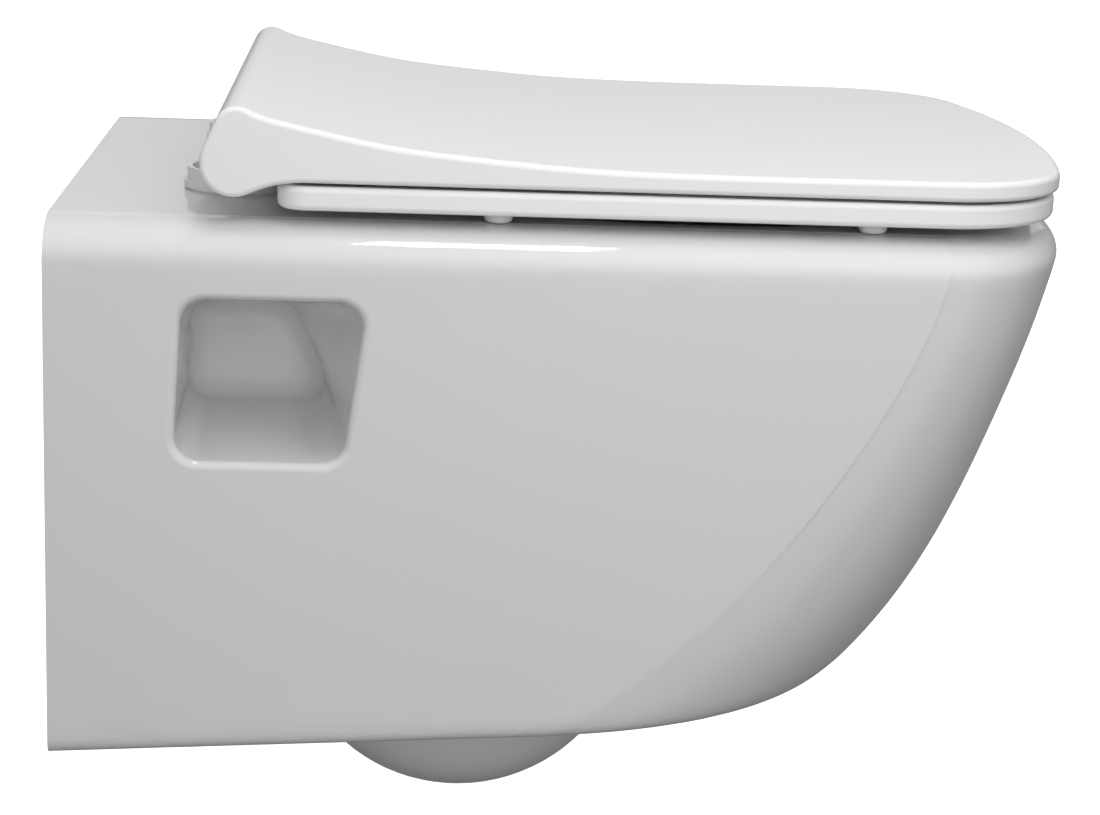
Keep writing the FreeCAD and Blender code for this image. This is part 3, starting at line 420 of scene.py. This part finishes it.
class TOILET_OT_hinges(Operator):
    """Finishes the hinge fittings and fixings"""

    bl_idname = "toilet.hinges"
    bl_label = "Hinges and fixings"

    def execute(self, context):
        moulded = fitting_plastic("white hinge plastic", look().fitting, 0.22, 500.0)
        nylon = fitting_plastic("washer nylon", look().fitting, 0.45, 900.0)
        rubber = soft_rubber("sleeve rubber", look().rubber)
        steel = turned_steel("turned pin steel", look().steel)
        finishes = {
            "hinge_base": moulded, "hinge_post": moulded, "hinge_pin": steel,
            "base_pad": rubber, "fixing_sleeve": rubber, "fixing_washer": nylon,
        }
        for stem, material in finishes.items():
            for side in SIDES:
                dress(f"{stem}_{side}", material)
        return {"FINISHED"}


class TOILET_OT_bolts(Operator):
    """Turns the countersunk fixing bolts, with their threads and round sockets"""

    bl_idname = "toilet.bolts"
    bl_label = "Fixing bolts"

    def execute(self, context):
        steel = turned_steel("rolled bolt steel", look().steel)
        for side in SIDES:
            node = f"fixing_bolt_{side}"
            top = height_of(node)
            core = BOLT_SHANK * 0.82
            profile = (
                (0.0, 0.0), (BOLT_SHANK * 0.6, 0.0), (core, 0.6 * MM), (core, top - 8.0 * MM),
                (BOLT_SHANK, top - 7.6 * MM), (BOLT_SHANK, top - BOLT_HEAD + BOLT_SHANK),
                (BOLT_HEAD, top - 0.25 * MM), (BOLT_HEAD * 0.96, top), (1.9 * MM, top),
                (1.6 * MM, top - SOCKET_DEPTH), (0.0, top - SOCKET_DEPTH),
            )
            shape = bmesh.new()
            lathe(shape, profile)
            pitch = look().thread_pitch
            thread(shape, BOLT_SHANK * 0.8, BOLT_SHANK * 0.2, pitch, 0.7 * MM, top - 8.5 * MM)
            finished(shape, f"threaded_bolt_{side}", middle(node), steel, "steel", "pan", node)
        return {"FINISHED"}


class TOILET_OT_wing_nuts(Operator):
    """Moulds the wing nuts, with their rounded wings and ribbed hubs"""

    bl_idname = "toilet.wing_nuts"
    bl_label = "Wing nuts"

    def execute(self, context):
        nylon = fitting_plastic("wing nut nylon", look().fitting, 0.38, 700.0)
        for side in SIDES:
            node = f"wing_nut_{side}"
            tall = height_of(node)
            shape = bmesh.new()
            for way in (1.0, -1.0):
                wing = block(shape, (9.0 * MM, 2.6 * MM, tall), (way * 9.5 * MM, 0.0, tall / 2))
                round_edges(shape, upright_tips(shape, wing, way * WING_TIP), 3.4 * MM, 7)
            round_edges(shape, list(shape.edges), 0.7 * MM, 2)
            lathe(shape, (
                (3.4 * MM, 0.3 * MM), (3.7 * MM, 0.0), (5.9 * MM, 0.0), (HUB_RADIUS, 0.6 * MM),
                (HUB_RADIUS, tall - 2.0 * MM), (5.6 * MM, tall - 0.4 * MM), (5.2 * MM, tall),
                (3.7 * MM, tall), (3.4 * MM, tall - 0.3 * MM), (3.4 * MM, 0.3 * MM),
            ))
            ribs = look().grip_ribs
            for index in range(ribs):
                size = (0.8 * MM, 0.9 * MM, tall - 3.4 * MM)
                rib = block(shape, size, (6.4 * MM, 0.0, tall / 2 - 0.6 * MM))
                around = Matrix.Rotation(math.tau * (index + 0.5) / ribs, 3, "Z")
                bmesh.ops.rotate(shape, verts=rib, cent=(0.0, 0.0, 0.0), matrix=around)
            finished(shape, f"ribbed_wing_nut_{side}", middle(node), nylon, "nut_plastic", node, node)
        return {"FINISHED"}


class TOILET_OT_buffers(Operator):
    """Moulds the soft buffers under the seat and the cover"""

    bl_idname = "toilet.buffers"
    bl_label = "Buffers"

    def execute(self, context):
        rubber = soft_rubber("buffer rubber", look().rubber)
        rows = ("rear", "front")
        places = [(f"seat_buffer_{row}_{side}", "seat") for row in rows for side in SIDES]
        places += [(f"cover_buffer_{side}", "cover") for side in SIDES]
        for node, body in places:
            low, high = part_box(node)
            radius = (high[0] - low[0]) / 2
            tall = high[2] - low[2]
            shape = bmesh.new()
            lathe(shape, [(radius * across, tall * up) for across, up in BUFFER_PROFILE])
            finished(shape, f"domed_{node}", middle(node), rubber, "buffer_rubber", body, node)
        return {"FINISHED"}


class TOILET_OT_dampers(Operator):
    """Turns the two soft-close dampers, with their end caps and grooves"""

    bl_idname = "toilet.dampers"
    bl_label = "Dampers"

    def execute(self, context):
        nylon = fitting_plastic("damper nylon", look().fitting, 0.4, 800.0)
        for node in ("seat_damper", "cover_damper"):
            low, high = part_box(node)
            radius = (high[2] - low[2]) / 2
            length = high[0] - low[0]
            depth = look().groove_depth
            rings = [(0.0, 0.0), (radius - DAMPER_CAP, 0.0), (radius, DAMPER_CAP)]
            for groove in (share * length for share in DAMPER_GROOVES):
                rings += [
                    (radius, groove - 0.9 * MM), (radius - depth, groove - 0.5 * MM),
                    (radius - depth, groove + 0.5 * MM), (radius, groove + 0.9 * MM),
                ]
            rings += [
                (radius, length - DAMPER_CAP), (radius - DAMPER_CAP, length), (radius * 0.42, length),
                (radius * 0.38, length - 1.5 * MM), (0.0, length - 1.5 * MM),
            ]
            shape = bmesh.new()
            lathe(shape, rings, 56)
            start = Vector((low[0], (low[1] + high[1]) / 2, (low[2] + high[2]) / 2))
            body = node.split("_")[0]
            finished(
                shape, f"grooved_{node}", start, nylon, "damper_plastic", body, node, sideways=True,
            )
        return {"FINISHED"}


def area_light(name, place, width, length, power, glossy=True):
    """A rectangular soft light that faces the pan and stays out of the picture."""
    data = bpy.data.lights.new(name, "AREA")
    data.shape = "RECTANGLE"
    data.size = width
    data.size_y = length
    data.energy = power
    lamp = bpy.data.objects.new(name, data)
    lamp.location = place
    aim = Vector(MIDDLE_OF_PAN) - Vector(place)
    lamp.rotation_euler = aim.to_track_quat("-Z", "Y").to_euler()
    lamp.visible_camera = False
    lamp.visible_glossy = glossy
    bpy.context.collection.objects.link(lamp)


def make_world():
    """Soft light from all round, brightest above."""
    world = bpy.data.worlds.new("studio")
    world.use_nodes = True
    tree = world.node_tree
    background = tree.nodes["Background"]
    background.inputs["Color"].default_value = (1.0, 1.0, 1.0, 1.0)
    coordinates = tree.nodes.new("ShaderNodeTexCoord")
    split = tree.nodes.new("ShaderNodeSeparateXYZ")
    ramp = tree.nodes.new("ShaderNodeMapRange")
    ramp.inputs["From Min"].default_value = -1.0
    ramp.inputs["To Min"].default_value = 0.06
    ramp.inputs["To Max"].default_value = 0.60
    tree.links.new(coordinates.outputs["Generated"], split.inputs[0])
    tree.links.new(split.outputs["Z"], ramp.inputs["Value"])
    tree.links.new(ramp.outputs["Result"], background.inputs["Strength"])
    bpy.context.scene.world = world


def make_camera():
    """The camera at the photograph's viewing angle."""
    data = bpy.data.cameras.new("camera")
    data.sensor_width = 36.0
    data.lens = CAMERA_LENS
    data.clip_end = 60.0
    camera = bpy.data.objects.new("camera", data)
    facing = Matrix(((0, 0, -1), (-1, 0, 0), (0, 1, 0))).to_4x4()
    yaw = Matrix.Rotation(-CAMERA_YAW, 4, "Z")
    pitch = Matrix.Rotation(-CAMERA_PITCH, 4, "X")
    roll = Matrix.Rotation(CAMERA_ROLL, 4, "Z")
    camera.matrix_world = Matrix.Translation(CAMERA_PLACE) @ yaw @ facing @ pitch @ roll
    bpy.context.collection.objects.link(camera)
    bpy.context.scene.camera = camera


def make_floor():
    """A plain pale floor below the hanging pan."""
    shape = bmesh.new()
    bmesh.ops.create_grid(shape, x_segments=1, y_segments=1, size=FLOOR_REACH)
    bmesh.ops.translate(shape, verts=shape.verts, vec=(0.0, 0.0, FLOOR_LEVEL))
    mesh = bpy.data.meshes.new("floor")
    shape.to_mesh(mesh)
    shape.free()
    floor = bpy.data.objects.new("floor", mesh)
    finish = Finish("pale floor", Roughness=0.8, Emission_Strength=1.0)
    finish.set("Base Color", tone(look().floor))
    finish.set("Emission Color", tone(look().floor))
    mesh.materials.append(finish.material)
    bpy.context.collection.objects.link(floor)
    floor.visible_diffuse = False
    floor.visible_glossy = False
    floor.visible_shadow = False


class TOILET_OT_stage(Operator):
    """Sets up the camera, the soft light and the pale floor"""

    bl_idname = "toilet.stage"
    bl_label = "Stage"

    def execute(self, context):
        make_camera()
        make_world()
        make_floor()
        area_light("overhead softbox", (-0.28, -0.285, 1.9), 0.3, 0.75, 7.0)
        area_light("side softbox", (-0.6, -0.45, 0.6), 0.5, 0.4, 1.9, glossy=False)
        area_light("front fill", (-1.5, -0.3, 0.25), 0.7, 0.7, 5.5, glossy=False)
        area_light("far softbox", (2.0, -0.3, 0.75), 2.4, 1.2, 2.6)
        context.scene.view_settings.view_transform = "Standard"
        return {"FINISHED"}


class TOILET_PT_panel(Panel):
    """Lists the pieces of the toilet and its settings"""

    bl_idname = "TOILET_PT_panel"
    bl_label = "Wall hung toilet"
    bl_space_type = "VIEW_3D"
    bl_region_type = "UI"
    bl_category = "Toilet"

    def draw(self, context):
        for operator in OPERATORS:
            self.layout.operator(operator.bl_idname)
        for name in ToiletLook.__annotations__:
            self.layout.prop(context.scene.toilet_look, name)


OPERATORS = (
    TOILET_OT_stage, TOILET_OT_pan, TOILET_OT_seat, TOILET_OT_hinges,
    TOILET_OT_bolts, TOILET_OT_wing_nuts, TOILET_OT_buffers, TOILET_OT_dampers,
)
CLASSES = (ToiletLook, *OPERATORS, TOILET_PT_panel)


def register():
    """Adds the classes and the settings."""
    for cls in CLASSES:
        bpy.utils.register_class(cls)
    bpy.types.Scene.toilet_look = PointerProperty(type=ToiletLook)


def unregister():
    """Takes the settings and the classes away again."""
    del bpy.types.Scene.toilet_look
    for cls in reversed(CLASSES):
        bpy.utils.unregister_class(cls)


def main():
    """Builds the stage and every piece."""
    register()
    for operator in OPERATORS:
        group, name = operator.bl_idname.split(".")
        getattr(getattr(bpy.ops, group), name)()


if __name__ == "__main__":
    main()
